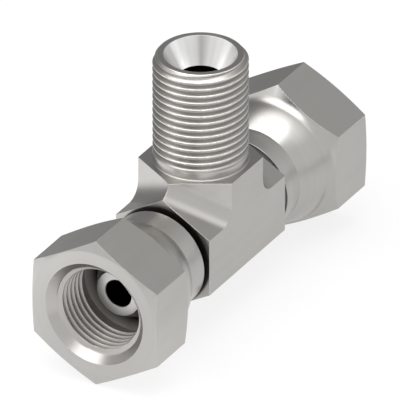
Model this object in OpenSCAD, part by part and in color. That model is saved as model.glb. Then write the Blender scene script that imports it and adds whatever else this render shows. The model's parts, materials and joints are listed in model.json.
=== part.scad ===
// Branch tee adapter for hydraulic pipework: a one-piece tee body with a male stud
// on its branch and a swivel nut, held by a ring of wire, on each end of its run.
// The origin is where the two centrelines cross. The run lies along Y, the branch
// points up +Z, and the wrench flats of the body face +X and -X.
// The threads are parallel pipe thread G 3/8, drawn as plain cylinders at their crests.

/* [Pipe thread] */
// Diameter over the crests of the branch stud's thread
thread_major_d = 16.66; // [16:0.02:17.4]
// Diameter inside the crests of the nuts' thread
thread_minor_d = 14.95; // [14.5:0.01:15.4]

/* [Tee body] */
// Width across the flats of both hexagons of the body
body_flats = 18.7; // [18:0.1:21]
// From the branch centreline to each end face of the run hexagon
run_reach = 13.1; // [12:0.1:16]
// From the run centreline up to the top of the branch hexagon
branch_reach = 13; // [12:0.1:16]
// Radius of the hollow blend between the branch hexagon and the run hexagon
blend_r = 3.8; // [2.4:0.1:4.4]
// Diameter of the bore through the run
run_bore_d = 5; // [4:0.1:6]
// Diameter of the bore down the branch
branch_bore_d = 7.6; // [6:0.1:8.4]
// How far the full width of the branch bore runs past the run bore
drill_past = 0.3; // [0.1:0.1:2]
// Included angle at the tip of the branch drill
drill_angle = 118; // [90:1:135]

/* [Branch stud] */
// Height of the stud above the branch hexagon
stud_l = 20.5; // [16:0.1:26]
// Diameter of the stud's flat end face
stud_tip_d = 15; // [14.2:0.1:15.8]
// Height of the chamfer below the end face
stud_chamfer_h = 1; // [0.5:0.1:1.5]
// Diameter of the cone seat at the stud's mouth
seat_mouth_d = 12.84; // [11:0.02:13.6]
// Radius of the hollow blend at the stud's root
stud_root_r = 0.25; // [0.1:0.05:0.35]

/* [Run noses] */
// From the body's end face to the flat tip of each nose
spigot_l = 15.2; // [14:0.1:17]
// Diameter of the spigot that each nut turns on
spigot_d = 13.9; // [13.4:0.05:14.3]
// Diameter of the flat at each nose's tip
nose_tip_d = 8.5; // [7:0.1:9.5]
// Included angle of the noses and of the seat in the stud
cone_angle = 60; // [56:1:64]

/* [Swivel nuts] */
// Width across the flats of each nut
nut_flats = 24.6; // [24.2:0.1:27]
// Length of each nut
nut_l = 22.3; // [21:0.1:25]
// Length of the nut's hexagon, measured on its flats
nut_hex_l = 11; // [9.5:0.1:12]
// Gap between the body's end face and the nut's collar
collar_gap = 1.2; // [0.8:0.1:1.6]
// Diameter of the round collar at the back of the nut
collar_d = 18.2; // [17.6:0.1:19]
// Length of the collar
collar_l = 4.4; // [4:0.1:5]
// Radius of the bell's curve, from the collar to the hexagon
bell_r = 13.7; // [12:0.1:18]
// Diameter of the bell near the hexagon
bell_d = 23.2; // [22.4:0.1:23.6]
// Radius of the hollow blend between the bell and the hexagon
nut_blend_r = 1.2; // [0.8:0.1:1.4]
// Slope of the chamfer on the hexagon's back, from the face plane
back_chamfer_angle = 30; // [25:1:35]
// Slope of the chamfer on the hexagon's front, from the face plane
face_chamfer_angle = 16; // [12:1:20]
// Diameter of the flat ring on the nut's face
face_ring_d = 24.2; // [23.4:0.1:24.2]
// Diameter of the countersunk mouth
mouth_d = 19.4; // [18:0.1:21]
// Included angle of the countersunk mouth
mouth_angle = 80; // [70:1:90]
// Depth of the relief behind the thread, below the thread's root
relief_depth = 0.27; // [0.1:0.01:0.5]
// Gap between the thread's inner end and the nose's tip
nose_gap = 0.3; // [0.1:0.1:0.6]
// Clearance all round between the nut's bore and the spigot
turning_clearance = 0.1; // [0.05:0.01:0.15]
// Width of the small edge breaks on the collar
edge_break = 0.2; // [0.1:0.05:0.3]

/* [Retaining wires] */
// Diameter of the wire
wire_d = 1.6; // [1.2:0.1:1.8]
// From the body's end face to the middle of the wire
wire_reach = 3.4; // [3:0.1:3.8]
// Clearance all round the wire in its groove
wire_clearance = 0.05; // [0.03:0.01:0.08]
// Angle left open between the wire's two ends
wire_gap_angle = 24; // [16:1:40]
// Where the feed hole starts, turned round the nut from its +X flat
feed_angle = 120; // [110:1:140]

/* [Hidden] */
$fn = 96;

STEEL = [0.67, 0.66, 0.64];
BODY_STEEL = [0.62, 0.61, 0.60];
WIRE_STEEL = [0.42, 0.43, 0.45];
FRONT = -1;
REAR = 1;
SIDES = [-1, 1];
// How far a cutting shape reaches past the face that it opens
OVERCUT = 1;

// Heights of the branch
stud_top = branch_reach + stud_l;
branch_floor = -(run_bore_d / 2 + drill_past);
seat_depth = (seat_mouth_d - branch_bore_d) / 2 / tan(cone_angle / 2);
drill_tip_h = branch_bore_d / 2 / tan(drill_angle / 2);

// Stations along the run, from the centreline of the branch
nose_tip_at = run_reach + spigot_l;
nose_root_at = nose_tip_at - (spigot_d - nose_tip_d) / 2 / tan(cone_angle / 2);
wire_at = run_reach + wire_reach;
nut_back_at = run_reach + collar_gap;
nut_face_at = nut_back_at + nut_l;
bell_back_at = nut_back_at + collar_l;
hex_back_at = nut_face_at - nut_hex_l;
thread_end_at = nose_tip_at + nose_gap;

// Radii of the nut
nut_corner_r = nut_flats / 2 / cos(30);
collar_r = collar_d / 2;
nut_bore_r = spigot_d / 2 + turning_clearance;
minor_r = thread_minor_d / 2;
relief_r = thread_major_d / 2 + relief_depth;
mouth_depth = (mouth_d - thread_minor_d) / 2 / tan(mouth_angle / 2);

// The wire lies half in the spigot and half in the nut
wire_ring_r = spigot_d / 2 + turning_clearance / 2;
groove_r = wire_d / 2 + wire_clearance;

// The bell is an arc of bell_r from the collar's front edge to a point near the hexagon
bell_start = [collar_r, bell_back_at];
bell_aim = [bell_d / 2, hex_back_at - nut_blend_r];
bell_centre = arc_centre(bell_start, bell_aim, bell_r);

// The blend touches the bell's arc and the straight line of the back chamfer
chamfer_dir = [cos(back_chamfer_angle), sin(back_chamfer_angle)];
chamfer_out = [sin(back_chamfer_angle), -cos(back_chamfer_angle)];
chamfer_foot = [nut_flats / 2, hex_back_at];
blend_from_bell = chamfer_foot + nut_blend_r * chamfer_out - bell_centre;
blend_along = blend_from_bell * chamfer_dir;
blend_shift = -blend_along
    + sqrt(blend_along ^ 2 - blend_from_bell * blend_from_bell + (bell_r + nut_blend_r) ^ 2);
blend_centre = bell_centre + blend_from_bell + blend_shift * chamfer_dir;
bell_touch = bell_centre + (blend_centre - bell_centre) * bell_r / (bell_r + nut_blend_r);
chamfer_touch = blend_centre - nut_blend_r * chamfer_out;

// Centre of the arc of radius r from p to q that bulges away from the axis
function arc_centre(p, q, r) =
    let (chord = norm(q - p), along = (q - p) / chord)
    (p + q) / 2 + sqrt(r ^ 2 - chord ^ 2 / 4) * [-along[1], along[0]];

// Stands a shape made along +Z on one end of the run
module at_run_end(side) {
    rotate([-90 * side, 0, 0]) children();
}

// Hexagonal bar along Z with two flats facing +X and -X
module hex_bar(flats, h) {
    rotate(30) cylinder(h = h, r = flats / 2 / cos(30), $fn = 6);
}

// One of the four lines where a slanted face of the branch meets one of the run. It
// falls from the ridge above the centreline to the +X flat, and both faces touch a
// cylinder of blend_r that lies along it.
crease_dir = [2 * sin(60), -1, -1];
crease_out = [1, sin(60), sin(60)] / norm([1, sin(60), sin(60)]);
crease_top = body_flats / 2 / sin(60);
cos_half = [0.5, sin(60), 0] * crease_out;
sin_half = sqrt(1 - cos_half ^ 2);

// Axes with Z along dir and X along out
function frame_along(dir, out) =
    let (z = dir / norm(dir), y = cross(z, out))
    [for (i = [0:2]) [out[i], y[i], z[i], 0]];

// Stands a shape made along Z on the crease, X pointing away from the metal
module on_crease() {
    translate([0, crease_top, crease_top])
        multmatrix(frame_along(crease_dir, crease_out))
        translate([0, 0, -body_flats])
        children();
}

// Metal that fills the crease as far as the two lines where the cylinder touches
module crease_fill() {
    touch = blend_r * (1 / cos_half - cos_half);
    intersection() {
        on_crease()
            linear_extrude(2 * body_flats)
            polygon([
                [-blend_r / 2, 0],
                [touch, -blend_r * sin_half],
                [touch, blend_r * sin_half]
            ]);
        cube([body_flats / 2, run_reach, branch_reach]);
    }
}

// Round cutter that hollows the filled crease, up to the plane between its two halves
module crease_cutter() {
    intersection() {
        on_crease()
            translate([blend_r / cos_half, 0])
            cylinder(r = blend_r, h = 2 * body_flats);
        cube([body_flats, run_reach + OVERCUT, branch_reach + OVERCUT]);
    }
}

module on_four_creases() {
    for (x_side = [0, 1], y_side = [0, 1])
        mirror([x_side, 0, 0]) mirror([0, y_side, 0]) children();
}

// Crossing hexagons of run and branch, with hollow blends between them
module hex_block() {
    difference() {
        union() {
            rotate([90, 0, 0])
                translate([0, 0, -run_reach])
                hex_bar(body_flats, 2 * run_reach);
            hex_bar(body_flats, branch_reach);
            on_four_creases() crease_fill();
        }
        on_four_creases() crease_cutter();
    }
}

// Stud with a blended root and a chamfered tip
module stud() {
    stud_r = thread_major_d / 2;
    rotate_extrude()
        difference() {
            polygon([
                [0, 0],
                [stud_r + stud_root_r, 0],
                [stud_r + stud_root_r, branch_reach + stud_root_r],
                [stud_r, branch_reach + stud_root_r],
                [stud_r, stud_top - stud_chamfer_h],
                [stud_tip_d / 2, stud_top],
                [0, stud_top]
            ]);
            translate([stud_r + stud_root_r, branch_reach + stud_root_r]) circle(r = stud_root_r);
        }
}

// Spigot with its coned nose, from inside the body out to the nose's flat tip
module spigot() {
    difference() {
        rotate_extrude()
            polygon([
                [0, 0],
                [spigot_d / 2, 0],
                [spigot_d / 2, nose_root_at],
                [nose_tip_d / 2, nose_tip_at],
                [0, nose_tip_at]
            ]);
        wire_groove();
    }
}

module wire_groove() {
    rotate_extrude() translate([wire_ring_r, wire_at]) circle(r = groove_r);
}

// Passages: one bore through the run, and a wider one down the branch that crosses it,
// with a cone seat at its mouth
module passages() {
    rotate([90, 0, 0])
        cylinder(d = run_bore_d, h = 2 * (nose_tip_at + OVERCUT), center = true);
    rotate_extrude()
        polygon([
            [0, branch_floor - drill_tip_h],
            [branch_bore_d / 2, branch_floor],
            [branch_bore_d / 2, stud_top - seat_depth],
            [seat_mouth_d / 2, stud_top],
            [seat_mouth_d / 2, stud_top + OVERCUT],
            [0, stud_top + OVERCUT]
        ]);
}

module tee_body() {
    color(BODY_STEEL)
        difference() {
            union() {
                hex_block();
                stud();
                for (side = SIDES) at_run_end(side) spigot();
            }
            passages();
        }
}

// Outline of the nut from its axis outwards: collar, bell, blend and chamfered bar
module nut_outline() {
    corner_back_at = hex_back_at + (nut_corner_r - nut_flats / 2) * tan(back_chamfer_angle);
    corner_face_at = nut_face_at - (nut_corner_r - face_ring_d / 2) * tan(face_chamfer_angle);
    difference() {
        union() {
            polygon([
                [0, nut_back_at],
                [collar_r - edge_break, nut_back_at],
                [collar_r, nut_back_at + edge_break],
                bell_start,
                bell_touch,
                chamfer_touch,
                [nut_corner_r, corner_back_at],
                [nut_corner_r, corner_face_at],
                [face_ring_d / 2, nut_face_at],
                [0, nut_face_at]
            ]);
            intersection() {
                translate(bell_centre) circle(r = bell_r);
                translate([0, bell_back_at])
                    square([nut_corner_r, bell_touch[1] - bell_back_at]);
            }
        }
        translate(blend_centre) circle(r = nut_blend_r);
    }
}

// Everything hollow in the nut: spigot bore, relief, thread and countersunk mouth
module nut_cavity() {
    relief_back_at = nose_root_at + (relief_r - nut_bore_r);
    polygon([
        [0, nut_back_at - OVERCUT],
        [nut_bore_r + edge_break, nut_back_at - OVERCUT],
        [nut_bore_r + edge_break, nut_back_at],
        [nut_bore_r, nut_back_at + edge_break],
        [nut_bore_r, nose_root_at],
        [relief_r, relief_back_at],
        [relief_r, thread_end_at],
        [minor_r, thread_end_at],
        [minor_r, nut_face_at - mouth_depth],
        [mouth_d / 2, nut_face_at],
        [mouth_d / 2, nut_face_at + OVERCUT],
        [0, nut_face_at + OVERCUT]
    ]);
}

// Hole through the collar, in line with the groove, where the wire was fed in
module feed_hole() {
    rotate(feed_angle)
        translate([wire_ring_r, 0, wire_at])
        rotate([-90, 0, 0])
        cylinder(d = wire_d + wire_clearance, h = collar_r);
}

module swivel_nut(side) {
    color(STEEL)
        at_run_end(side)
        difference() {
            intersection() {
                rotate_extrude() difference() {
                    nut_outline();
                    nut_cavity();
                }
                translate([0, 0, nut_back_at - OVERCUT])
                    hex_bar(nut_flats, nut_l + 2 * OVERCUT);
            }
            wire_groove();
            rotate(side * feed_angle - feed_angle) feed_hole();
        }
}

module retaining_wire(side) {
    color(WIRE_STEEL)
        at_run_end(side)
        rotate(side * feed_angle + wire_gap_angle)
        rotate_extrude(angle = 360 - wire_gap_angle)
        translate([wire_ring_r, wire_at])
        circle(d = wire_d);
}

tee_body();
swivel_nut(FRONT);  // front_swivel_nut
swivel_nut(REAR);  // rear_swivel_nut
retaining_wire(FRONT);  // front_retaining_wire
retaining_wire(REAR);  // rear_retaining_wire
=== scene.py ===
import json
import math

import bmesh
import bpy
import numpy as np
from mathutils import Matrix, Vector


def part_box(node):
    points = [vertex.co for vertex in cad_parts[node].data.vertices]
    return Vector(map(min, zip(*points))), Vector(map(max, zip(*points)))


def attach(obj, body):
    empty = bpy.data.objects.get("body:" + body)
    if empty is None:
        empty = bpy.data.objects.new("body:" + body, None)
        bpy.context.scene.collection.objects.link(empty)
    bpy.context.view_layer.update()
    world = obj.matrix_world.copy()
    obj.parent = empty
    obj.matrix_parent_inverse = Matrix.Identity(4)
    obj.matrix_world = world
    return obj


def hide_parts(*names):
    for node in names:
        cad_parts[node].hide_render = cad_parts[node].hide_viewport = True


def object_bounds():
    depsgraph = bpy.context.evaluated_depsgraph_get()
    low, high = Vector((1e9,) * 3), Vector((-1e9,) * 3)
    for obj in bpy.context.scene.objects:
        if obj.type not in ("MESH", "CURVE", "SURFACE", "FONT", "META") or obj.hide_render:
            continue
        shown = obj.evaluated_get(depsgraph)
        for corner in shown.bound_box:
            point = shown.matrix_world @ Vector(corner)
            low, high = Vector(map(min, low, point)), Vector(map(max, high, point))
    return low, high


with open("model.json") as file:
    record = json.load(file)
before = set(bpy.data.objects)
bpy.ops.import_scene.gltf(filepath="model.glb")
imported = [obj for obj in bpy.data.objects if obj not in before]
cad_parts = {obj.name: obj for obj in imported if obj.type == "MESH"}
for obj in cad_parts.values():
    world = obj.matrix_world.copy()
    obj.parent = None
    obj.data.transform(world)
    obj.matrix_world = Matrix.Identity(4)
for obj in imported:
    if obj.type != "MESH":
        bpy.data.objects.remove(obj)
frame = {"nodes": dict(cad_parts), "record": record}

# Everything is worked out in millimetres and scaled to metres when a mesh is made.
MM = 0.001
TAU = 2 * math.pi
SIXTH_TURN = TAU / 6
# The ends of the run, by the side of the branch on which they lie along Y
ENDS = {-1: "front", 1: "rear"}

cad_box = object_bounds()
mounts = {m["name"]: m for m in frame["record"]["mounts"]}
tee_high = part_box("tee_body")[1] / MM
nut_low, nut_high = [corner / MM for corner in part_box("rear_swivel_nut")]

# Sizes read from the frame
STUD_R = mounts["branch_thread"]["dims"]["r_mm"]
MINOR_R = mounts["rear_nut_thread"]["dims"]["r_mm"]
RUN_BORE_R = mounts["rear_run_bore"]["dims"]["r_mm"]
BRANCH_BORE_R = mounts["branch_bore"]["dims"]["r_mm"]
BODY_FLAT_R = tee_high.x
STUD_TOP = tee_high.z
NOSE_TIP = tee_high.y
NUT_FLAT_R = nut_high.x
NUT_BACK = nut_low.y
NUT_FACE = nut_high.y

# Thread G 3/8: rounded 55 degree form, 19 turns to the inch, right-hand
PITCH = 25.4 / 19
FLANK = math.radians(27.5)
THREAD_DEPTH = STUD_R - MINOR_R
CREST_R = 0.137329 * PITCH

# Tee body
RUN_REACH = 13.1
BRANCH_REACH = 13.0
BLEND_R = 3.8
BODY_EDGE_R = 0.07
STUD_ROOT_R = 0.25
STUD_TIP_R = 7.5
STUD_CHAMFER_H = 1.0
SEAT_MOUTH_R = 6.42
CONE_HALF = math.radians(30)
DRILL_HALF = math.radians(59)
DRILL_PAST = 0.3
NECK_TOP = 14.3
THREAD_RUN_OUT = 0.75 * PITCH
SPIGOT_R = 6.95
NOSE_TIP_R = 4.25
BRANCH_FLOOR = -(RUN_BORE_R + DRILL_PAST)
SEAT_FOOT = STUD_TOP - (SEAT_MOUTH_R - BRANCH_BORE_R) / math.tan(CONE_HALF)
NOSE_ROOT = NOSE_TIP - (SPIGOT_R - NOSE_TIP_R) / math.tan(CONE_HALF)

# Swivel nuts, measured along the run from the centre of the tee
COLLAR_R = 9.1
COLLAR_L = 4.4
BELL_R = 13.7
BELL_RIM_R = 11.2
NUT_BLEND_R = 2.2
NUT_HEX_L = 11.0
BACK_SLOPE = math.radians(30)
FACE_SLOPE = math.radians(16)
FACE_RING_R = 12.1
MOUTH_R = 9.7
MOUTH_HALF = math.radians(40)
MOUTH_END_SLOPE = 4
THREAD_END_SLOPE = 8
RELIEF_R = 8.6
RELIEF_BACK = 24.9
THREAD_END = 27.6
NUT_THREAD_SHIFT = -0.6
NUT_BORE_R = 7.05

# Retaining wire and its groove
WIRE_AT = 16.5
WIRE_RING_R = 7.0
WIRE_GROOVE_R = 0.85
FEED_HOLE_R = 0.825
FEED_ANGLE = math.radians(120)

# Radii of the small roundings
NOSE_ROOT_ROUND = 0.3
NOSE_TIP_ROUND = 0.12
NOSE_LIP = 0.15
SEAT_MOUTH_ROUND = 0.1
SEAT_FOOT_ROUND = 0.2
NUT_MOUTH_ROUND = 0.1
NUT_FACE_ROUND = 0.1
HEX_FRONT_ROUND = 0.03
HEX_BACK_ROUND = 0.04
HEX_CORNER_ROUND = 0.05
COLLAR_ROUND = 0.25
NUT_BORE_ROUND = 0.2
RELIEF_ROUND = 0.3
THREAD_END_ROUND = 0.12

# How far shapes that are cut or joined run past each other, and the stud's root into the block
OVERLAP = 1
SINK = 0.01
# Where the stud's skin takes over from the block, above the branch hexagon
JOIN_RISE = 0.6
# Plain bands that close the skins: below and above the stud's thread, round its end face, ahead
# of the nut's bell, at the start of its mouth and of its bore
STUD_LOW_BAND = 0.1
STUD_TOP_BAND = 0.05
STUD_FACE_BAND = 0.02
BELL_BAND = 0.02
MOUTH_BAND = 0.2
BORE_BAND = 0.5
# How far from the hexagon's back edge the hollow blend ends, to leave room for the edge's rounding
EDGE_ROOM = 0.12
# How close two points lie to be one, and how far a flat face may bend
WELD = 0.003
BLOCK_WELD = 0.002
FLAT_WITHIN = math.radians(0.5)
# A spot this close to a surface counts as on it, from strict to loose
TOUCHING = 0.01
CLOSE = 0.02
BESIDE = 0.05
NEAR = 0.1

# Columns round each piece, steps along each curve, and turns that a thread's cut ends take up
COLUMNS = 192
BORE_COLUMNS = 96
HOLE_COLUMNS = 36
CORNER_COLUMNS = (-0.4, -0.25, -0.1, 0.1, 0.25, 0.4)
FLAT_COLUMNS = range(2, 60, 2)
CREST_ROWS = 3
ROUNDING_STEPS = 3
EDGE_SEGMENTS = 3
CREASE_STEPS = 18
CUTTER_BACK_STEPS = 40
GROOVE_STEPS = 12
STUD_ROOT_STEPS = 5
BELL_STEPS = 24
NUT_BLEND_STEPS = 14
SPARE_TURNS = 3

# Edges of the block that turn by more than BROKEN_TURN are rounded, and shading stays crisp past
# CRISP_TURN. Wear, with a painted glint, starts at FLAT_TURN and is full at FULL_TURN, on faces
# narrower than EDGE_WIDTH and across edges LONG_EDGE times as long as the face is wide. The stud's
# thread wears and glints fully, and other edges by the share EDGE_WEAR_AND_GLINT of that
BROKEN_TURN = math.radians(20)
CRISP_TURN = math.radians(32)
FLAT_TURN = math.radians(12)
FULL_TURN = math.radians(30)
EDGE_WIDTH = 0.25
LONG_EDGE = 1.5
EDGE_WEAR_AND_GLINT = 0.25

# Over what length painted shade darkens the spigots behind their tips, and the nuts' bores behind
# the relief
NOSE_DARK_L = 0.6
NUT_DARK_L = 1
# How much of the seat's painted sheen the noses' ends have, and of the relief's oxide the nuts'
# threads
NOSE_END_SEAT = 0.5
THREAD_OXIDE = 0.3
# A face that leans less than this along the run is a wrench flat
FLAT_LEAN = 0.02


# Outlines


def arc(centre, radius, start, end, steps):
    """Points on an arc, both ends included."""
    angles = np.linspace(start, end, steps + 1)
    return [(centre[0] + radius * math.cos(a), centre[1] + radius * math.sin(a)) for a in angles]


def rounded(corners):
    """An outline of (r, z, rounding) corners, each corner turned into an arc of its rounding."""
    path = []
    for i, (r, z, rounding) in enumerate(corners):
        here = np.array((r, z))
        if rounding == 0 or i in (0, len(corners) - 1):
            path.append((r, z))
            continue
        before = np.array(corners[i - 1][:2]) - here
        after = np.array(corners[i + 1][:2]) - here
        before /= np.linalg.norm(before)
        after /= np.linalg.norm(after)
        half = math.acos(np.clip(before @ after, -1, 1)) / 2
        middle = (before + after) / np.linalg.norm(before + after)
        centre = here + middle * rounding / math.sin(half)
        first = here + before * rounding / math.tan(half) - centre
        last = here + after * rounding / math.tan(half) - centre
        start = math.atan2(first[1], first[0])
        sweep = math.atan2(last[1], last[0]) - start
        sweep = (sweep + math.pi) % TAU - math.pi
        path += arc(centre, rounding, start, start + sweep, ROUNDING_STEPS)
    return path


def thread_rise(phase):
    """Height of the rounded thread form over its root. Phase 0 and 1 are its crests."""
    across = abs((phase + 0.5) % 1 - 0.5) * PITCH
    mirrored = across > PITCH / 4
    if mirrored:
        across = PITCH / 2 - across
    touch = CREST_R * math.cos(FLANK)
    if across < touch:
        drop = CREST_R - math.sqrt(CREST_R ** 2 - across ** 2)
    else:
        drop = CREST_R * (1 - math.sin(FLANK)) + (across - touch) / math.tan(FLANK)
    return drop if mirrored else THREAD_DEPTH - drop


def thread_phases():
    """Phases that place rows along the rounded crest, the straight flank and the rounded root."""
    lean = np.linspace(0, math.pi / 2 - FLANK, CREST_ROWS + 1)
    crest = CREST_R * np.sin(lean) / PITCH
    half = np.concatenate([crest, [0.25], (0.5 - crest)[::-1]])
    return np.concatenate([half, 1 - half[-2:0:-1]])


# Meshes


class Skin:
    """Vertices and faces of one piece, in millimetres, gathered ring by ring round +Z."""

    def __init__(self, angles):
        self.angles = angles
        self.verts = []
        self.faces = []

    def ring(self, radii, heights):
        """A closed ring of vertices, one for each angle. A ring on the axis is one vertex."""
        radii = np.broadcast_to(radii, self.angles.shape)
        heights = np.broadcast_to(heights, self.angles.shape)
        first = len(self.verts)
        if np.all(radii == 0):
            self.verts.append((0, 0, heights[0]))
            return [first] * len(self.angles)
        for a, r, h in zip(self.angles, radii, heights):
            self.verts.append((r * math.cos(a), r * math.sin(a), h))
        return list(range(first, len(self.verts)))

    def face(self, corners):
        """A face with its doubled corners left out."""
        kept = [c for i, c in enumerate(corners) if c != corners[i - 1]]
        if len(set(kept)) > 2:
            self.faces.append(kept)

    def band(self, low, high):
        """Faces between two rings, facing away from the axis where high lies above low."""
        for i in range(len(low)):
            j = (i + 1) % len(low)
            self.face([low[i], low[j], high[j], high[i]])

    def lathe(self, rows, start=None):
        """Rings for rows of (radii, heights), joined in order. Returns the last ring."""
        ring = start
        for radii, heights in rows:
            following = self.ring(radii, heights)
            if ring is not None:
                self.band(ring, following)
            ring = following
        return ring

    def thread(self, low, high, radius_at, outwards=True, shift=0):
        """A helical band between heights low and high. Rows follow the helix, moved along by
        shift, and radius_at(phase, height) gives the surface. Returns the first and last ring."""
        phases = thread_phases()
        turns = math.ceil((high - low) / PITCH) + SPARE_TURNS
        count = len(self.angles)
        steps = len(phases)
        lead = [PITCH * a / TAU for a in self.angles]
        start = low - PITCH + shift
        ends = [self.ring([radius_at((h - start - lead[j]) / PITCH, h) for j in range(count)], h)
                for h in (low, high)]
        grid = []
        for j in range(count):
            column = []
            for k in range(turns * steps):
                phase = phases[k % steps]
                height = start + (k // steps + phase) * PITCH + lead[j]
                if height <= low:
                    column.append(ends[0][j])
                elif height >= high:
                    column.append(ends[1][j])
                else:
                    r = radius_at(phase, height)
                    a = self.angles[j]
                    column.append(len(self.verts))
                    self.verts.append((r * math.cos(a), r * math.sin(a), height))
            grid.append(column)
        for j in range(count):
            seam = steps if j == count - 1 else 0
            right = grid[(j + 1) % count]
            for k in range(turns * steps - 1):
                low_right = right[min(k + seam, len(right) - 1)]
                high_right = right[min(k + 1 + seam, len(right) - 1)]
                corners = [grid[j][k], low_right, high_right, grid[j][k + 1]]
                self.face(corners if outwards else corners[::-1])
        return ends

    def to_bmesh(self, turned_to=None):
        """The skin as a bmesh in metres. turned_to +1 or -1 lays +Z along +Y or -Y."""
        bm = bmesh.new()
        verts = []
        for x, y, z in self.verts:
            if turned_to is not None:
                x, y, z = x, z * turned_to, -y * turned_to
            verts.append(bm.verts.new((x * MM, y * MM, z * MM)))
        for face in self.faces:
            bm.faces.new([verts[i] for i in face])
        bmesh.ops.recalc_face_normals(bm, faces=bm.faces)
        return bm


def even_angles(count):
    """Angles evenly round a turn."""
    return np.arange(count) * TAU / count


def turned(path, angles, turned_to=None):
    """A closed solid of revolution, whose outline starts and ends on the axis."""
    skin = Skin(angles)
    skin.lathe(path)
    return skin.to_bmesh(turned_to)


def as_object(bm, name):
    """An object of the scene from a bmesh, which is used up."""
    mesh = bpy.data.meshes.new(name)
    bm.to_mesh(mesh)
    bm.free()
    obj = bpy.data.objects.new(name, mesh)
    bpy.context.scene.collection.objects.link(obj)
    return obj


def apply_modifiers(obj):
    """Turns the object's modifiers into mesh."""
    bpy.context.view_layer.update()
    shaped = obj.evaluated_get(bpy.context.evaluated_depsgraph_get())
    mesh = bpy.data.meshes.new_from_object(shaped)
    obj.modifiers.clear()
    obj.data = mesh
    return obj


def combine(obj, other, operation):
    """Adds other to obj, or cuts it out, and removes other."""
    modifier = obj.modifiers.new(operation.lower(), "BOOLEAN")
    modifier.operation = operation
    modifier.solver = "EXACT"
    modifier.object = other
    apply_modifiers(obj)
    bpy.data.objects.remove(other)
    return obj


def prism(outline, low, high, place):
    """A straight prism over an outline, with place(x, y, z) putting each point in millimetres."""
    bm = bmesh.new()
    base = [bm.verts.new([c * MM for c in place(x, y, low)]) for x, y in outline]
    top = [bm.verts.new([c * MM for c in place(x, y, high)]) for x, y in outline]
    bm.faces.new(base[::-1])
    bm.faces.new(top)
    for i in range(len(outline)):
        j = (i + 1) % len(outline)
        bm.faces.new([base[i], base[j], top[j], top[i]])
    bmesh.ops.recalc_face_normals(bm, faces=bm.faces)
    return bm


def hexagon(flat_r):
    """Hexagon with flats at +x and -x."""
    corner_r = flat_r / math.cos(SIXTH_TURN / 2)
    turns = [(i + 0.5) * SIXTH_TURN for i in range(6)]
    return [(corner_r * math.cos(a), corner_r * math.sin(a)) for a in turns]


# Tee body


def crease_axes():
    """Where a slanted face of the branch meets one of the run: a point, its direction and
    the way out of the metal, for the crease on the +X, +Y side."""
    sine = math.sin(SIXTH_TURN)
    along = Vector((2 * sine, -1, -1)).normalized()
    out = Vector((1, sine, sine)).normalized()
    ridge = BODY_FLAT_R / sine
    return Vector((0, ridge, ridge)), along, out


def crease_parts(x_side, y_side):
    """Filler and round cutter that hollow one crease of the body."""
    point, along, out = crease_axes()
    across = along.cross(out)
    face = Vector((math.cos(SIXTH_TURN), math.sin(SIXTH_TURN), 0))
    cos_half = face.dot(out)
    sin_half = math.sqrt(1 - cos_half ** 2)

    def place(x, y, z):
        spot = point + out * x + across * y + along * z
        return (spot.x * x_side, spot.y * y_side, spot.z)

    touch = BLEND_R * (1 / cos_half - cos_half)
    reach = 2 * BODY_FLAT_R
    wedge = [(-BLEND_R / 2, 0), (touch, -BLEND_R * sin_half), (touch, BLEND_R * sin_half)]
    centre = (BLEND_R / cos_half, 0)
    tangent = math.asin(sin_half)
    front = math.pi - tangent
    back = math.pi + tangent
    round_cut = arc(centre, BLEND_R, front, back, CREASE_STEPS)
    round_cut += arc(centre, BLEND_R, back, front + TAU, CUTTER_BACK_STEPS)[1:-1]
    filler = as_object(prism(wedge, -reach, reach, place), "crease_filler")
    cutter = as_object(prism(round_cut, -reach, reach, place), "crease_cutter")
    for obj, spare in ((filler, 0), (cutter, OVERLAP)):
        limits = corner_block(x_side, y_side, spare)
        combine(obj, limits, "INTERSECT")
    return filler, cutter


def corner_block(x_side, y_side, spare):
    """The quarter of the body's box that one crease lies in."""
    x = (BODY_FLAT_R + spare) * x_side
    y = (RUN_REACH + spare) * y_side
    outline = [(0, 0), (x, 0), (x, y), (0, y)]
    return as_object(prism(outline, 0, BRANCH_REACH + spare, lambda *p: p), "corner_block")


def hex_block():
    """Crossing hexagons of run and branch, with hollow creases and lightly broken edges."""
    outline = hexagon(BODY_FLAT_R)
    block = as_object(
        prism(outline, -RUN_REACH, RUN_REACH, lambda x, y, z: (x, z, -y)), "block")
    branch = as_object(prism(outline, 0, BRANCH_REACH, lambda *p: p), "branch")
    combine(block, branch, "UNION")
    creases = [crease_parts(x, y) for x in (-1, 1) for y in (-1, 1)]
    for filler, _ in creases:
        combine(block, filler, "UNION")
    for _, cutter in creases:
        combine(block, cutter, "DIFFERENCE")
    bm = bmesh.new()
    bm.from_mesh(block.data)
    bmesh.ops.remove_doubles(bm, verts=bm.verts, dist=BLOCK_WELD * MM)
    bmesh.ops.dissolve_limit(bm, angle_limit=FLAT_WITHIN, verts=bm.verts, edges=bm.edges)
    bm.to_mesh(block.data)
    bm.free()
    bevel = block.modifiers.new("broken_edges", "BEVEL")
    bevel.width = BODY_EDGE_R * MM
    bevel.segments = EDGE_SEGMENTS
    bevel.limit_method = "ANGLE"
    bevel.angle_limit = BROKEN_TURN
    return apply_modifiers(block)


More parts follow.
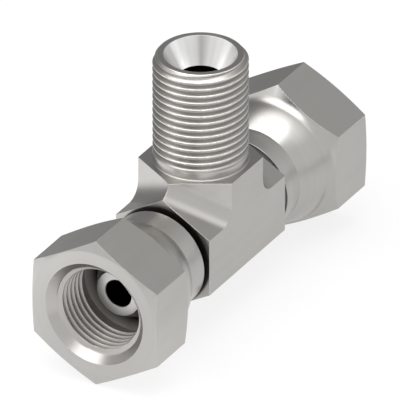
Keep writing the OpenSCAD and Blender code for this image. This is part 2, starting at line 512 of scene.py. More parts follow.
def spigot(side):
    """Spigot with its wire groove and coned nose, from inside the block to the nose's tip."""
    lean = math.asin((SPIGOT_R - WIRE_RING_R) / WIRE_GROOVE_R)
    start = -math.pi / 2 - lean
    groove = arc((WIRE_RING_R, WIRE_AT), WIRE_GROOVE_R, start, start - math.pi + 2 * lean,
                 GROOVE_STEPS)
    groove = [(r, z) for r, z in groove if r <= SPIGOT_R]
    foot = RUN_REACH - 2 * OVERLAP
    nose = rounded([
        (SPIGOT_R, WIRE_AT + 2 * OVERLAP, 0),
        (SPIGOT_R, NOSE_ROOT, NOSE_ROOT_ROUND),
        (NOSE_TIP_R, NOSE_TIP, NOSE_TIP_ROUND),
        (RUN_BORE_R / 2, NOSE_TIP, 0),
    ])
    path = [(0, foot), (SPIGOT_R, foot)] + groove + nose + [(0, NOSE_TIP)]
    return as_object(turned(path, even_angles(COLUMNS), side), "spigot")


def run_cutter():
    """Bore through the run, with a lightly broken edge at each nose."""
    half = [
        (RUN_BORE_R, 0),
        (RUN_BORE_R, NOSE_TIP - NOSE_LIP),
        (RUN_BORE_R + NOSE_LIP, NOSE_TIP),
        (RUN_BORE_R + NOSE_LIP, NOSE_TIP + OVERLAP),
        (0, NOSE_TIP + OVERLAP),
    ]
    path = [(r, -z) for r, z in half[::-1]] + half[1:]
    return as_object(turned(path, even_angles(BORE_COLUMNS), 1), "run_cutter")


def tee_root(join):
    """Block, stud root and spigots with their passages, cut off flat at height join."""
    tee = hex_block()
    angles = even_angles(COLUMNS)
    foot = BRANCH_REACH - SINK
    wide = STUD_R + STUD_ROOT_R
    root = arc((wide, foot + STUD_ROOT_R), STUD_ROOT_R, -math.pi / 2, -math.pi, STUD_ROOT_STEPS)
    path = [(0, foot - OVERLAP), (wide, foot - OVERLAP)] + root + [(STUD_R, join), (0, join)]
    combine(tee, as_object(turned(path, angles), "stud_root"), "UNION")
    for side in ENDS:
        combine(tee, spigot(side), "UNION")
    combine(tee, run_cutter(), "DIFFERENCE")
    drill_tip = BRANCH_FLOOR - BRANCH_BORE_R / math.tan(DRILL_HALF)
    path = [
        (0, drill_tip),
        (BRANCH_BORE_R, BRANCH_FLOOR),
        (BRANCH_BORE_R, join + OVERLAP),
        (0, join + OVERLAP),
    ]
    combine(tee, as_object(turned(path, angles), "branch_cutter"), "DIFFERENCE")
    return tee


def stud_radius(phase, height):
    """Surface of the stud: the thread form, run out at the neck and cut by the tip's chamfer."""
    run_out = min(max((height - NECK_TOP) / THREAD_RUN_OUT, 0), 1)
    rise = thread_rise(phase)
    thread = STUD_R - (THREAD_DEPTH - rise) * run_out
    chamfer = STUD_TIP_R + (STUD_TOP - height) * (STUD_R - STUD_TIP_R) / STUD_CHAMFER_H
    return min(thread, chamfer)


def threaded_stud(join):
    """Skin of the stud above join: neck, thread, end face, cone seat and bore."""
    skin = Skin(even_angles(COLUMNS))
    neck = skin.ring(STUD_R, join)
    low, high = skin.thread(join + STUD_LOW_BAND, STUD_TOP - STUD_TOP_BAND, stud_radius)
    skin.band(neck, low)
    inside = rounded([
        (STUD_TIP_R - STUD_FACE_BAND, STUD_TOP, 0),
        (SEAT_MOUTH_R, STUD_TOP, SEAT_MOUTH_ROUND),
        (BRANCH_BORE_R, SEAT_FOOT, SEAT_FOOT_ROUND),
        (BRANCH_BORE_R, join, 0),
    ])
    skin.lathe(inside, high)
    return skin.to_bmesh()


def tee_body():
    """The whole body: the cut block, open at the stud's foot, and the stud's threaded skin."""
    join = BRANCH_REACH + JOIN_RISE
    tee = tee_root(join)
    bm = bmesh.new()
    bm.from_mesh(tee.data)
    tops = [f for f in bm.faces if abs(f.calc_center_median().z / MM - join) < WELD]
    bmesh.ops.delete(bm, geom=tops, context="FACES")
    stud = as_object(threaded_stud(join), "stud_skin")
    bm.from_mesh(stud.data)
    bpy.data.objects.remove(stud)
    bmesh.ops.remove_doubles(bm, verts=bm.verts, dist=WELD * MM)
    bmesh.ops.recalc_face_normals(bm, faces=bm.faces)
    bpy.data.objects.remove(tee)
    return as_object(bm, "turned_tee_body")


# Swivel nuts


def nut_angles():
    """Columns round the nut, with extra ones across each rounded corner of the hexagon."""
    angles = []
    for corner in range(6):
        middle = (corner + 0.5) * SIXTH_TURN
        angles += [middle + math.radians(a) for a in (*CORNER_COLUMNS, *FLAT_COLUMNS)]
    return np.array(sorted(a % TAU for a in angles))


def hex_radius(angle):
    """Distance from the axis to the hexagon at an angle, its corners lightly rounded."""
    half = SIXTH_TURN / 2
    turn = (angle + half) % SIXTH_TURN - half
    from_corner = half - abs(turn)
    centre = (NUT_FLAT_R - HEX_CORNER_ROUND) / math.cos(half)
    touch = math.atan2(HEX_CORNER_ROUND * math.sin(half),
                       centre + HEX_CORNER_ROUND * math.cos(half))
    if from_corner > touch:
        return NUT_FLAT_R / math.cos(turn)
    beyond = math.sqrt(HEX_CORNER_ROUND ** 2 - (centre * math.sin(from_corner)) ** 2)
    return centre * math.cos(from_corner) + beyond


def bell_curve(reach):
    """The bell that rises from the collar, and the hollow blend from it to the back chamfer,
    which ends at the radius reach where that comes sooner."""
    start = np.array((COLLAR_R, NUT_BACK + COLLAR_L))
    aim = np.array((BELL_RIM_R, NUT_FACE - NUT_HEX_L - NUT_BLEND_R))
    half_chord = np.linalg.norm(aim - start) / 2
    along = (aim - start) / (2 * half_chord)
    inwards = np.array((-along[1], along[0]))
    centre = (start + aim) / 2 + math.sqrt(BELL_R ** 2 - half_chord ** 2) * inwards
    slope = np.array((math.cos(BACK_SLOPE), math.sin(BACK_SLOPE)))
    out = np.array((math.sin(BACK_SLOPE), -math.cos(BACK_SLOPE)))
    foot = np.array((NUT_FLAT_R, NUT_FACE - NUT_HEX_L))
    gap = foot + NUT_BLEND_R * out - centre
    apart = BELL_R + NUT_BLEND_R
    shift = -gap @ slope + math.sqrt((gap @ slope) ** 2 - gap @ gap + apart ** 2)
    blend = centre + gap + shift * slope
    to_blend = (blend - centre) / apart
    bell_end = math.atan2(to_blend[1], to_blend[0])
    bell_from = math.atan2(*(start - centre)[::-1])
    bell = arc(centre, BELL_R, bell_from, bell_end, BELL_STEPS)
    blend_to = math.acos(min((reach - blend[0]) / NUT_BLEND_R, -out[0]))
    hollow = arc(blend, NUT_BLEND_R, bell_end - math.pi, blend_to - TAU, NUT_BLEND_STEPS)
    return bell, hollow


def nut_outside(flat):
    """Outline of the nut's outside at one angle, where flat is the hexagon's distance from the
    axis. It runs from the countersunk mouth over face, hexagon, bell and collar to the bore."""
    edge = bell_curve(flat)[1][-1]
    back_at = edge[1] + (flat - edge[0]) * math.tan(BACK_SLOPE)
    face_at = NUT_FACE - (flat - FACE_RING_R) * math.tan(FACE_SLOPE)
    bell, hollow = bell_curve(flat - EDGE_ROOM)
    inner_r = STUD_R + MOUTH_BAND
    front = rounded([
        (inner_r, NUT_FACE - (MOUTH_R - inner_r) / math.tan(MOUTH_HALF), 0),
        (MOUTH_R, NUT_FACE, NUT_MOUTH_ROUND),
        (FACE_RING_R, NUT_FACE, NUT_FACE_ROUND),
        (flat, face_at, HEX_FRONT_ROUND),
        (flat, back_at, HEX_BACK_ROUND),
        (*hollow[-1], 0),
    ])
    back = rounded([
        (*bell[0], 0),
        (COLLAR_R, bell[0][1] - BELL_BAND, 0),
        (COLLAR_R, NUT_BACK, COLLAR_ROUND),
        (NUT_BORE_R, NUT_BACK, NUT_BORE_ROUND),
        (NUT_BORE_R, NUT_BACK + BORE_BAND, 0),
    ])
    return front + hollow[-2::-1] + bell[-2::-1] + back[1:]


def nut_inside():
    """Outline of the nut's bore from the wire groove to the relief behind the thread."""
    lean = math.asin((NUT_BORE_R - WIRE_RING_R) / WIRE_GROOVE_R)
    half = math.pi / 2 - lean
    groove = arc((WIRE_RING_R, WIRE_AT), WIRE_GROOVE_R, -half, half, GROOVE_STEPS)
    groove = [(max(r, NUT_BORE_R), z) for r, z in groove]
    relief = rounded([
        (NUT_BORE_R, NOSE_ROOT - OVERLAP, 0),
        (NUT_BORE_R, NOSE_ROOT, NUT_BORE_ROUND),
        (RELIEF_R, NOSE_ROOT + RELIEF_R - NUT_BORE_R, RELIEF_ROUND),
        (RELIEF_R, THREAD_END, THREAD_END_ROUND),
        (STUD_R, THREAD_END, 0),
    ])
    return groove + relief


def nut_thread_radius(phase, height):
    """Surface of the nut's thread: the form, at full depth just behind the countersunk mouth,
    and broken at its end."""
    thread = STUD_R - thread_rise(phase)
    mouth = MOUTH_R - (NUT_FACE - height) * math.tan(MOUTH_HALF)
    if mouth < STUD_R:
        mouth = STUD_R - (STUD_R - mouth) * MOUTH_END_SLOPE
    end = STUD_R - (height - THREAD_END) * THREAD_END_SLOPE
    return max(thread, mouth, end)


def swivel_nut(side):
    """One nut: hexagon, bell, collar and bore swept round, with a true helical thread."""
    angles = nut_angles()
    skin = Skin(angles)
    outlines = np.array([nut_outside(hex_radius(a)) for a in angles])
    outside = [(outlines[:, i, 0], outlines[:, i, 1]) for i in range(outlines.shape[1])]
    mouth_foot = outside[0][1][0]
    low, high = skin.thread(THREAD_END, mouth_foot, nut_thread_radius, outwards=False,
                            shift=NUT_THREAD_SHIFT)
    last = skin.lathe(outside[1:], high)
    last = skin.lathe(nut_inside()[:-1], last)
    skin.band(last, low)
    nut = as_object(skin.to_bmesh(side), ENDS[side] + "_threaded_nut")
    return combine(nut, feed_drill(side), "DIFFERENCE")


def feed_drill(side):
    """Cuts the hole that the wire was fed in by, in line with its groove."""
    turn = side * FEED_ANGLE

    def place(x, y, z):
        across = x + WIRE_RING_R
        around = Vector((across * math.cos(turn) - z * math.sin(turn),
                         across * math.sin(turn) + z * math.cos(turn)))
        return (around.x, (WIRE_AT - y) * side, -around.y * side)

    outline = arc((0, 0), FEED_HOLE_R, 0, TAU, HOLE_COLUMNS)[:-1]
    return as_object(prism(outline, 0, COLLAR_R, place), "feed_drill")


# What the finishes read from the meshes


def worn_edges(bm, on_thread):
    """How worn each face is, and how brightly a glint is painted on it: 0 on a flat or in a corner,
    up to 1 on a thread's crest and less on the narrow faces that round other edges."""
    wear_and_glint = []
    for face in bm.faces:
        width = face.calc_area() / max(edge.calc_length() for edge in face.edges) / MM
        turns = [edge.calc_face_angle_signed(0) for edge in face.edges
                 if edge.calc_length() / MM > LONG_EDGE * width]
        most = max(turns, default=0)
        sharp = min(most / FULL_TURN, 1)
        if width > EDGE_WIDTH or most < FLAT_TURN:
            sharp = 0
        centre = face.calc_center_median() / MM
        wear_and_glint.append(sharp if on_thread(centre) else sharp * EDGE_WEAR_AND_GLINT)
    return wear_and_glint


def finish_mesh(obj, on_thread, at_points, on_faces):
    """Smooth shading with crisp edges and true flats, and what the finishes read from the mesh:
    worn edges with their painted glint, and each measure at its points or on its faces, named
    without its tee_ or nut_."""
    mesh = obj.data
    mesh.shade_smooth()
    mesh.set_sharp_from_angle(angle=CRISP_TURN)
    bm = bmesh.new()
    bm.from_mesh(mesh)
    found = [("worn_edge", "FACE", worn_edges(bm, on_thread))]
    for measure in at_points:
        name = measure.__name__.split("_", 1)[1]
        found.append((name, "POINT", [measure(v.co / MM) for v in bm.verts]))
    for measure in on_faces:
        name = measure.__name__.split("_", 1)[1]
        values = [measure(f.calc_center_median() / MM, f.normal) for f in bm.faces]
        found.append((name, "FACE", values))
    bm.free()
    for name, domain, values in found:
        mesh.attributes.new(name, "FLOAT", domain).data.foreach_set("value", values)
    weighted = obj.modifiers.new("true_flats", "WEIGHTED_NORMAL")
    weighted.keep_sharp = True
    return apply_modifiers(obj)


def ease(value, low, high):
    """0 at low, 1 at high and smooth between."""
    t = min(max((value - low) / (high - low), 0), 1)
    return t * t * (3 - 2 * t)


def on_stud(spot):
    """Whether a spot lies on the stud's thread."""
    outside = math.hypot(spot.x, spot.y) > MINOR_R - NEAR
    return outside and NECK_TOP + PITCH < spot.z < STUD_TOP - CLOSE


def tee_recess(spot):
    """How deep painted shade darkens the tee's passages, and along the spigots inside the nuts."""
    from_run = math.hypot(spot.x, spot.z)
    from_branch = math.hypot(spot.x, spot.y)
    in_run = from_run < RUN_BORE_R + CLOSE and abs(spot.y) < NOSE_TIP - NEAR
    in_branch = from_branch < BRANCH_BORE_R + CLOSE and spot.z < SEAT_FOOT + BESIDE
    if in_run or in_branch:
        return 1
    if abs(spot.y) > RUN_REACH + TOUCHING and from_run < SPIGOT_R + NEAR:
        return ease(NOSE_TIP - abs(spot.y), 0, NOSE_DARK_L)
    return 0


def tee_turned(centre, normal):
    """1 where the tee was turned, 0 on its milled block."""
    return float(centre.z > BRANCH_REACH + TOUCHING or abs(centre.y) > RUN_REACH + TOUCHING)


def tee_fine_seat(centre, normal):
    """Painted sheen and light streaks: 1 on the cone seat in the stud, and part way on the noses'
    end faces.
    """
    if math.hypot(centre.x, centre.y) < SEAT_MOUTH_R and centre.z > SEAT_FOOT:
        return 1
    return NOSE_END_SEAT * (abs(centre.y) > NOSE_TIP - TOUCHING)


def nut_recess(spot):
    """Painted shade deep in a nut, behind the relief of its thread."""
    if math.hypot(spot.x, spot.z) > RELIEF_R + BESIDE:
        return 0
    return ease(RELIEF_BACK - abs(spot.y), 0, NUT_DARK_L)


def nut_oxide(centre, normal):
    """1 on the relief behind the thread, where plating hardly reaches, and part way on the
    thread."""
    from_run = math.hypot(centre.x, centre.z)
    if from_run > RELIEF_R + BESIDE:
        return 0
    if abs(centre.y) < THREAD_END:
        return 1
    return THREAD_OXIDE * (from_run < STUD_R)


def nut_turned(centre, normal):
    """0 on the wrench flats, which are drawn bar, and 1 on everything that was turned."""
    outer = math.hypot(centre.x, centre.z) > NUT_FLAT_R - TOUCHING
    return float(not (outer and abs(normal.y) < FLAT_LEAN))


def nowhere(spot):
    """No spot of a nut lies on a thread that handling rubs bright and that gets a painted glint."""
    return False


tee = finish_mesh(tee_body(), on_stud, [tee_recess], [tee_turned, tee_fine_seat])
nuts = {side: finish_mesh(swivel_nut(side), nowhere, [nut_recess], [nut_turned, nut_oxide])
        for side in ENDS}


# Finishes

# Base colours
STEEL = (0.5, 0.488, 0.468)
SPRING_STEEL = (0.42, 0.43, 0.45)
OXIDE = (0.4, 0.37, 0.34, 1)

# Plated steel: roughness, how much and at what turn it streaks light, and how worn its edges are,
# with their painted glint
ROUGHNESS = 0.3
ANISOTROPY = 0.35
QUARTER_TURN = 0.25
WEAR_AND_GLINT = 1.0

# Tints of the steel's colour: the painted glint on worn edges, the painted sheen and light streaks
# on the seat, and the painted shade in the gap to the nuts and in the recesses; and how fully the
# painted gap shade covers it
DULL_TONE = 0.98
BRIGHT_TONE = 1.02
BARE_GLINT_TINT = 1.8
SEAT_DARK_TINT = 0.8
SEAT_BRIGHT_TINT = 2.35
GAP_SHADE_TINT = 0.1
GAP_SHADE_COVER = 0.85
RECESS_SHADE_TINT = 0.015

# The same for spring wire, with its tint under scale, and its roughness
WIRE_DARK_TINT = 0.8
WIRE_BRIGHT_TINT = 1.15
WIRE_SCALE_TINT = 0.5
WIRE_SMOOTHEST = 0.25
WIRE_ROUGHEST = 0.4

# What the plating's tone, its specks, bare edges, the seat and the recesses do to the roughness
TONE_ROUGHNESS = 0.03
SPECK_ROUGHNESS = 0.15
BARE_GLOSS = 0.08
SEAT_ROUGHNESS = 0.12
RECESS_ROUGHNESS = 0.12

# Depth of the surface's marks in millimetres, and the grain's share of it
MARK_DEPTH = 0.0015
WIRE_MARK_DEPTH = 0.003
GRAIN_SHARE = 0.2

# Lathe marks: how many times each noise repeats in a pitch and its detail, first the fine marks
# and then the broad ones, and how much of the radius counts as travel along the axis
LATHE_NOISES = ((1, 2), (0.17, 3))
FACING_SHARE = 0.73
# Drawn grain: how its pattern is scaled along X, Y and Z, which draws it out along the run, and
# the broad lines' scale against the fine ones'
GRAIN_STRETCH = (1, 0.04, 1)
BROAD_SHARE = 0.15
# Where the middle of every tone lies
MIDDLE = 0.5
# Painted light streaks on the seat: how many lobes each wave has round the cone, where it starts in
# radians, its weight
STREAK_WAVES = ((3, -1.05, 0.36), (11, 0.84, 0.1), (17, 1.0, 0.04), (29, 0.4, 0.02))


def direction(azimuth, elevation):
    """Unit vector towards a compass azimuth, 0 along +Y and 90 along +X."""
    a = math.radians(azimuth)
    e = math.radians(elevation)
    return Vector((math.sin(a) * math.cos(e), math.cos(a) * math.cos(e), math.sin(e)))


class Wiring:
    """Short calls that place the nodes of one material, world or group and join them."""

    def __init__(self, tree):
        self.tree = tree

    def join(self, socket, value):
        """Sets a socket to a value, or links another node's output to it."""
        if isinstance(value, bpy.types.NodeSocket):
            self.tree.links.new(value, socket)
        else:
            socket.default_value = value

    def put(self, kind, **inputs):
        """Adds a node and gives each named input its value."""
        node = self.tree.nodes.new(kind if kind.startswith("Node") else "ShaderNode" + kind)
        for name, value in inputs.items():
            self.join(node.inputs[name], value)
        return node

    def sum_up(self, kind, operation, values):
        """Adds a node that works out one operation on its values."""
        node = self.tree.nodes.new("ShaderNode" + kind)
        node.operation = operation
        for socket, value in zip(node.inputs, values):
            self.join(socket, value)
        return node

    def maths(self, operation, *values):
        """One operation on numbers."""
        return self.sum_up("Math", operation, values).outputs[0]

    def vector(self, operation, *values):
        """One operation on vectors, with a vector or a number as its result."""
        node = self.sum_up("VectorMath", operation, values)
        return node.outputs["Value" if operation in ("DOT_PRODUCT", "LENGTH") else "Vector"]

    def scaled(self, value, factor):
        """A vector times a number."""
        node = self.sum_up("VectorMath", "SCALE", [value])
        self.join(node.inputs["Scale"], factor)
        return node.outputs[0]

    def nearness(self, spot, azimuth, elevation=0):
        """How far a spot lies along a direction, or how closely a unit vector points along it."""
        return self.vector("DOT_PRODUCT", spot, direction(azimuth, elevation))

    def smooth(self, value, low, high, start=0.0, end=1.0):
        """Maps low..high smoothly to start..end, held beyond both."""
        node = self.tree.nodes.new("ShaderNodeMapRange")
        node.interpolation_type = "SMOOTHSTEP"
        for name, number in zip(("Value", "From Min", "From Max", "To Min", "To Max"),
                                (value, low, high, start, end)):
            self.join(node.inputs[name], number)
        return node.outputs[0]

    def blend(self, factor, first, second, kind="RGBA"):
        """Mixes two colours, or two numbers when kind is FLOAT."""
        node = self.tree.nodes.new("ShaderNodeMix")
        node.data_type = kind
        sockets = {"RGBA": (0, 6, 7), "FLOAT": (0, 2, 3)}[kind]
        for index, value in zip(sockets, (factor, first, second)):
            self.join(node.inputs[index], value)
        return node.outputs[2 if kind == "RGBA" else 0]

    def attribute(self, name):
        """A measure that was written on the mesh, 0 where the mesh has none."""
        node = self.tree.nodes.new("ShaderNodeAttribute")
        node.attribute_name = name
        return node.outputs["Fac"]


def effect(name, inputs, outputs):
    """A new shader node group. Inputs give each socket's type and first value."""
    group = bpy.data.node_groups.new(name, "ShaderNodeTree")
    for socket, (kind, value) in inputs.items():
        made = group.interface.new_socket(socket, in_out="INPUT", socket_type="NodeSocket" + kind)
        if value is not None:
            made.default_value = value
    for socket in outputs:
        group.interface.new_socket(socket, in_out="OUTPUT", socket_type="NodeSocketFloat")
    w = Wiring(group)
    return group, w, w.put("NodeGroupInput").outputs


def place_effect(w, group, **inputs):
    """Puts a group into a material and gives its outputs."""
    node = w.tree.nodes.new("ShaderNodeGroup")
    node.node_tree = group
    for name, value in inputs.items():
        w.join(node.inputs[name], value)
    return node.outputs


def turning_marks():
    """Fine rings that a lathe tool leaves: they follow the axis, and on a face the radius."""
    group, w, given = effect("turning_marks", {
        "Position": ("Vector", None),
        "Axis": ("Vector", (0, 0, 1)),
        "Pitch": ("Float", 0.3),
        "Waver": ("Float", 0.05),
    }, ["Height", "Tone"])
    along = w.vector("DOT_PRODUCT", given["Position"], given["Axis"])
    axial = w.scaled(given["Axis"], along)
    radius = w.vector("LENGTH", w.vector("SUBTRACT", given["Position"], axial))
    sway = w.put("TexNoise", Vector=given["Position"], Scale=0.35, Detail=1)
    travel = w.maths("ADD", w.maths("ADD", along, w.maths("MULTIPLY", radius, FACING_SHARE)),
                     w.maths("MULTIPLY", sway.outputs[0], given["Waver"]))
    step = w.maths("DIVIDE", travel, given["Pitch"])
    outputs = []
    for stretch, detail in LATHE_NOISES:
        noise = w.put("TexNoise", Scale=1, Detail=detail)
        noise.noise_dimensions = "1D"
        w.join(noise.inputs["W"], w.maths("MULTIPLY", step, stretch))
        outputs.append(noise.outputs[0])
    w.put("NodeGroupOutput", Height=outputs[0], Tone=outputs[1])
    return group


def drawn_grain():
    """Faint lines lengthwise along bar that was drawn or milled."""
    group, w, given = effect("drawn_grain", {
        "Position": ("Vector", None),
        "Stretch": ("Vector", GRAIN_STRETCH),
        "Scale": ("Float", 4),
    }, ["Height", "Tone"])
    drawn = w.vector("MULTIPLY", given["Position"], given["Stretch"])
    fine = w.put("TexNoise", Vector=drawn, Scale=given["Scale"], Detail=3)
    broad_scale = w.maths("MULTIPLY", given["Scale"], BROAD_SHARE)
    broad = w.put("TexNoise", Vector=drawn, Scale=broad_scale, Detail=2)
    w.put("NodeGroupOutput", Height=fine.outputs[0], Tone=broad.outputs[0])
    return group


def plating_clouds():
    """Slow drift of tone and gloss over the plating, and small dull specks in it."""
    group, w, given = effect("plating_clouds", {
        "Position": ("Vector", None),
        "Size": ("Float", 8),
        "Specks": ("Float", 0.3),
    }, ["Tone", "Dull"])
    scale = w.maths("DIVIDE", 1, given["Size"])
    cloud = w.put("TexNoise", Vector=given["Position"], Scale=scale, Detail=3)
    speck = w.put("TexNoise", Vector=given["Position"], Scale=2.4, Detail=2)
    spots = w.smooth(speck.outputs[0], low=0.66, high=0.76)
    dull = w.maths("MULTIPLY", spots, given["Specks"])
    w.put("NodeGroupOutput", Tone=cloud.outputs[0], Dull=dull)
    return group


def gap_grime():
    """Painted shade in the narrow gap between the body and a nut, where the shadow falls."""
    group, w, given = effect("gap_grime", {
        "Position": ("Vector", None),
        "Near": ("Float", RUN_REACH),
        "Far": ("Float", NUT_BACK),
        "Reach": ("Float", COLLAR_R),
    }, ["Grime"])
    radius = w.vector("LENGTH", w.vector("MULTIPLY", given["Position"], (1, 0, 1)))
    along = w.maths("ABSOLUTE", w.vector("DOT_PRODUCT", given["Position"], (0, 1, 0)))
    out_of_reach = w.maths("SUBTRACT", radius, given["Reach"])
    inside = w.smooth(out_of_reach, low=0, high=0.4, start=1, end=0)
    past = w.smooth(w.maths("SUBTRACT", along, given["Near"]), low=-0.1, high=0)
    beyond = w.maths("SUBTRACT", along, given["Far"])
    before = w.smooth(beyond, low=0.05, high=0.3, start=1, end=0)
    gap_shade_mask = w.maths("MULTIPLY", w.maths("MULTIPLY", inside, past), before)
    w.put("NodeGroupOutput", Grime=gap_shade_mask)
    return group


def chatter_marks():
    """Painted light streaks: soft lobes round +Z, lighter and darker down a cone."""
    group, w, given = effect("chatter_marks", {"Position": ("Vector", None)}, ["Tone"])
    parts = w.put("SeparateXYZ", Vector=given["Position"]).outputs
    turn = w.maths("ARCTAN2", parts[1], parts[0])
    tone = MIDDLE
    for lobes, start, weight in STREAK_WAVES:
        wave = w.maths("SINE", w.maths("ADD", w.maths("MULTIPLY", turn, lobes), start))
        tone = w.maths("ADD", tone, w.maths("MULTIPLY", wave, weight))
    w.put("NodeGroupOutput", Tone=tone)
    return group


def edge_wear():
    """Where handling has polished the plating off an edge, with a painted glint on it, broken up
    along it.
    """
    group, w, given = effect("edge_wear", {
        "Position": ("Vector", None),
        "Edge": ("Float", 0),
        "Amount": ("Float", 0.5),
    }, ["Bare"])
    breaks = w.put("TexNoise", Vector=given["Position"], Scale=1.1, Detail=3)
    kept = w.smooth(breaks.outputs[0], low=0.4, high=0.62, start=0.6)
    bare_and_glint = w.maths("MULTIPLY", w.maths("MULTIPLY", given["Edge"], kept), given["Amount"])
    w.put("NodeGroupOutput", Bare=bare_and_glint)
    return group


effects = {make.__name__: make() for make in (turning_marks, drawn_grain, plating_clouds,
                                              gap_grime, chatter_marks, edge_wear)}


def tinted(colour, factor):
    """A darker or brighter tint of a colour."""
    return (*[min(c * factor, 1) for c in colour], 1)


def metal(name):
    """A new material with its main shader, its wiring and its position in millimetres."""
    material = bpy.data.materials.new(name)
    material.use_nodes = True
    w = Wiring(material.node_tree)
    spot = w.scaled(w.put("TexCoord").outputs["Object"], 1 / MM)
    return material, material.node_tree.nodes["Principled BSDF"], w, spot


def plated_steel(name, axis):
    """Bright plating over steel that was turned round its axis, or drawn and milled."""
    material, shader, w, spot = metal(name)
    shader.inputs["Anisotropic"].default_value = ANISOTROPY
    shader.inputs["Anisotropic Rotation"].default_value = QUARTER_TURN
    tangent = w.put("Tangent")
    tangent.direction_type = "RADIAL"
    tangent.axis = axis
    w.join(shader.inputs["Tangent"], tangent.outputs[0])

    turned_here = w.attribute("turned")
    recess = w.attribute("recess")
    seat = w.attribute("fine_seat")
    oxide = w.attribute("oxide")
    lathe = place_effect(w, effects["turning_marks"], Position=spot,
                         Axis={"Y": (0, 1, 0), "Z": (0, 0, 1)}[axis], Pitch=0.28, Waver=0.06)
    grain = place_effect(w, effects["drawn_grain"], Position=spot, Stretch=GRAIN_STRETCH, Scale=3.5)
    clouds = place_effect(w, effects["plating_clouds"], Position=spot, Size=9, Specks=0.05)
    fan = place_effect(w, effects["chatter_marks"], Position=spot)["Tone"]
    gap_shade_mask = place_effect(w, effects["gap_grime"], Position=spot)["Grime"]
    bare_and_glint = place_effect(w, effects["edge_wear"], Position=spot, Edge=w.attribute("worn_edge"),
                        Amount=WEAR_AND_GLINT)["Bare"]

    tone = w.blend(turned_here, grain["Tone"], lathe["Tone"], "FLOAT")
    tone = w.blend(MIDDLE, tone, clouds["Tone"], "FLOAT")
    shade = w.blend(w.smooth(tone, low=0.3, high=0.7), tinted(STEEL, DULL_TONE),
                    tinted(STEEL, BRIGHT_TONE))
    # Worn edges, brightened further by a painted glint: fully on the stud's thread crests, less on
    # other edges
    shade = w.blend(bare_and_glint, shade, tinted(STEEL, BARE_GLINT_TINT))
    # Painted sheen on the cone seat and the noses' ends, streaked lighter and darker by painted
    # light lobes
    seat_shade = w.blend(fan, tinted(STEEL, SEAT_DARK_TINT), tinted(STEEL, SEAT_BRIGHT_TINT))
    shade = w.blend(seat, shade, seat_shade)
    # Painted shade in the gap between the body and each nut, where the shadow falls
    shade = w.blend(w.maths("MULTIPLY", gap_shade_mask, GAP_SHADE_COVER), shade, tinted(STEEL, GAP_SHADE_TINT))
    shade = w.blend(oxide, shade, OXIDE)
    # Painted shade, nearly black, deep in the passages and bores
    shade = w.blend(recess, shade, tinted(STEEL, RECESS_SHADE_TINT))
    w.join(shader.inputs["Base Color"], shade)
    w.join(shader.inputs["Metallic"], w.maths("SUBTRACT", 1, oxide))

    rough = w.smooth(tone, low=0.25, high=0.75, start=ROUGHNESS + TONE_ROUGHNESS,
                     end=ROUGHNESS - TONE_ROUGHNESS)
    for mask, change in ((clouds["Dull"], SPECK_ROUGHNESS), (bare_and_glint, -BARE_GLOSS),
                         (seat, SEAT_ROUGHNESS), (recess, RECESS_ROUGHNESS)):
        rough = w.maths("ADD", rough, w.maths("MULTIPLY", mask, change))
    w.join(shader.inputs["Roughness"], rough)

    faint_grain = w.maths("MULTIPLY", grain["Height"], GRAIN_SHARE)
    height = w.blend(turned_here, faint_grain, lathe["Height"], "FLOAT")
    bump = w.put("Bump", Height=height, Strength=1.0, Distance=MARK_DEPTH * MM)
    w.join(shader.inputs["Normal"], bump.outputs[0])
    return material


def spring_wire(name):
    """Drawn wire: lengthwise draw lines round the ring and darker scale in random specks."""
    material, shader, w, spot = metal(name)
    shader.inputs["Metallic"].default_value = 1
    lines = place_effect(w, effects["turning_marks"], Position=spot, Axis=(0, 1, 0), Pitch=0.16,
                         Waver=0.02)
    clouds = place_effect(w, effects["plating_clouds"], Position=spot, Size=3, Specks=0.5)
    shade = w.blend(w.smooth(lines["Tone"], low=0.3, high=0.7),
                    tinted(SPRING_STEEL, WIRE_DARK_TINT), tinted(SPRING_STEEL, WIRE_BRIGHT_TINT))
    shade = w.blend(clouds["Dull"], shade, tinted(SPRING_STEEL, WIRE_SCALE_TINT))
    w.join(shader.inputs["Base Color"], shade)
    rough = w.smooth(clouds["Tone"], low=0.2, high=0.8, start=WIRE_SMOOTHEST, end=WIRE_ROUGHEST)
    w.join(shader.inputs["Roughness"], rough)
    bump = w.put("Bump", Height=lines["Height"], Strength=1.0, Distance=WIRE_MARK_DEPTH * MM)
    w.join(shader.inputs["Normal"], bump.outputs[0])
    return material


body_steel = plated_steel("body_steel", axis="Z")
nut_steel = plated_steel("nut_steel", axis="Y")
wire_steel = spring_wire("wire_steel")

tee.data.materials.append(body_steel)
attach(tee, "tee")
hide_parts("tee_body")
for side, end in ENDS.items():
    nuts[side].data.materials.append(nut_steel)
    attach(nuts[side], end + "_nut")
    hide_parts(end + "_swivel_nut")
    wire = frame["nodes"][end + "_retaining_wire"]
    for slot in wire.material_slots:
        slot.material = wire_steel


# Studio

# The photograph's view: the way to the camera in degrees, how far the picture's centre lies to
# the right of the origin and above it in millimetres, its height and its scale
CAMERA_AZIMUTH = 150
CAMERA_ELEVATION = 30
VIEW_RIGHT = -0.104
VIEW_UP = 2.44
PICTURE_HEIGHT_PX = 416
PX_PER_MM = 5.78
LENS = 1500
SENSOR = 36

# Patches of the walls, each with its azimuth and elevation, the nearness to it where it begins
# and where it is full, and the light that it adds to WALL_LIGHT or takes away
WALL_LIGHT = 0.72
WALL_PATCHES = (
    (-46, 15, 0.2, 0.95, -0.46),
    (16, 40, 0.85, 1, -0.07),
    (150, 10, 0.3, 1, 0.15),
    (70, 62, 0.88, 1, 0.62),
    (236, 16, 0.88, 1, 0.38),
    (72, 12, 0.75, 1, 0.16),
)

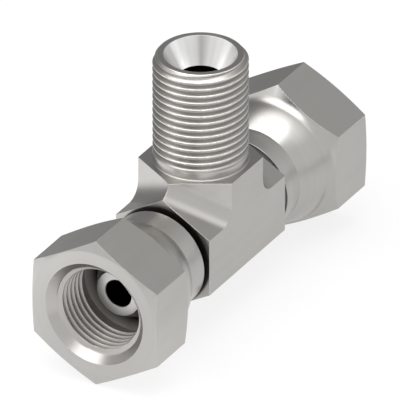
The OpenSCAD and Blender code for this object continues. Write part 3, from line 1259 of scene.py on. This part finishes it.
# How the mirrored floor changes towards three sides: azimuth, the distances in metres where the
# change begins and ends, and the light before it and after it
FLOOR_SHADES = (
    (-42, 0.01, 0.16, 1, 0.13),
    (30, -0.02, 0.02, 1.03, 0.82),
    (258, 0.02, 0.05, 1, 1.3),
)
FLOOR_HALF_WIDTH = 3
FLOOR_GLOW = 0.8
FLOOR_COLOUR = (0.92, 0.92, 0.92, 1)
WHITE = (1, 1, 1, 1)


def add_camera():
    """Camera at the photograph's angle: 30 degrees to the right of the run and 30 degrees up."""
    back = direction(CAMERA_AZIMUTH, CAMERA_ELEVATION)
    right = direction(CAMERA_AZIMUTH - 90, 0)
    up = back.cross(right)
    target = (right * VIEW_RIGHT + up * VIEW_UP) * MM
    view_height = PICTURE_HEIGHT_PX / PX_PER_MM * MM
    data = bpy.data.cameras.new("camera")
    data.sensor_fit = "VERTICAL"
    data.sensor_height = SENSOR
    data.sensor_width = SENSOR
    data.lens = LENS
    distance = view_height * data.lens / data.sensor_height
    camera = bpy.data.objects.new("camera", data)
    camera.location = target + back * distance
    camera.rotation_euler = back.to_track_quat("Z", "Y").to_euler()
    bpy.context.scene.collection.objects.link(camera)
    bpy.context.scene.camera = camera


def add_panel(name, azimuth, elevation, distance, size, radiance):
    """A round lamp panel that faces the object, its distance and size in metres."""
    data = bpy.data.lights.new(name, "AREA")
    data.shape = "DISK"
    data.size = size
    area = math.pi * (size / 2) ** 2
    data.energy = radiance * math.pi * area
    lamp = bpy.data.objects.new(name, data)
    towards = direction(azimuth, elevation)
    lamp.location = towards * distance
    lamp.rotation_euler = towards.to_track_quat("Z", "Y").to_euler()
    bpy.context.scene.collection.objects.link(lamp)


def add_floor():
    """A pale sweep that shows white and keeps the object's shadow. Where the metal mirrors it,
    it dims away from the object and behind it, and is brighter on the left."""
    bm = bmesh.new()
    bmesh.ops.create_grid(bm, x_segments=2, y_segments=2, size=FLOOR_HALF_WIDTH)
    floor = as_object(bm, "floor")
    floor.location.z = cad_box[0][2]
    material = bpy.data.materials.new("pale_floor")
    material.use_nodes = True
    material.node_tree.nodes.clear()
    w = Wiring(material.node_tree)
    spot = w.put("TexCoord").outputs["Object"]
    mirrored = w.smooth(w.vector("LENGTH", spot), low=0.04, high=0.3, start=1, end=0.62)
    for azimuth, *shade in FLOOR_SHADES:
        mirrored = w.maths("MULTIPLY", mirrored, w.smooth(w.nearness(spot, azimuth), *shade))
    path = w.put("LightPath").outputs
    brightness = w.maths("MAXIMUM", path["Is Camera Ray"], mirrored)
    seen = w.maths("MAXIMUM", path["Is Camera Ray"], path["Is Glossy Ray"])
    seen = w.maths("MAXIMUM", seen, path["Is Transmission Ray"])
    glow = w.put("Emission", Strength=brightness)
    matt = w.put("BsdfDiffuse", Color=FLOOR_COLOUR)
    mix = w.tree.nodes.new("ShaderNodeMixShader")
    layers = (w.maths("MULTIPLY", seen, FLOOR_GLOW), matt.outputs[0], glow.outputs[0])
    for socket, value in zip(mix.inputs, layers):
        w.join(socket, value)
    w.put("OutputMaterial", Surface=mix.outputs[0])
    floor.data.materials.append(material)


def add_world():
    """Soft studio walls: brighter at the front and the sides, dim behind the object, and white
    to the camera."""
    world = bpy.data.worlds.new("studio")
    bpy.context.scene.world = world
    world.use_nodes = True
    world.node_tree.nodes.clear()
    w = Wiring(world.node_tree)
    towards = w.put("TexCoord").outputs["Generated"]
    walls = WALL_LIGHT
    for azimuth, elevation, low, high, change in WALL_PATCHES:
        patch = w.smooth(w.nearness(towards, azimuth, elevation), low, high, end=change)
        walls = w.maths("ADD", walls, patch)
    strength = w.maths("MAXIMUM", walls, w.put("LightPath").outputs["Is Camera Ray"])
    sky = w.put("Background", Strength=strength, Color=WHITE)
    w.put("OutputWorld", Surface=sky.outputs[0])


add_camera()
add_floor()
add_world()
add_panel("overhead", azimuth=218, elevation=79, distance=0.5, size=0.66, radiance=1.9)
add_panel("front_left", azimuth=-152, elevation=38, distance=0.5, size=0.25, radiance=1.0)

scene = bpy.context.scene
scene.view_settings.view_transform = "Standard"
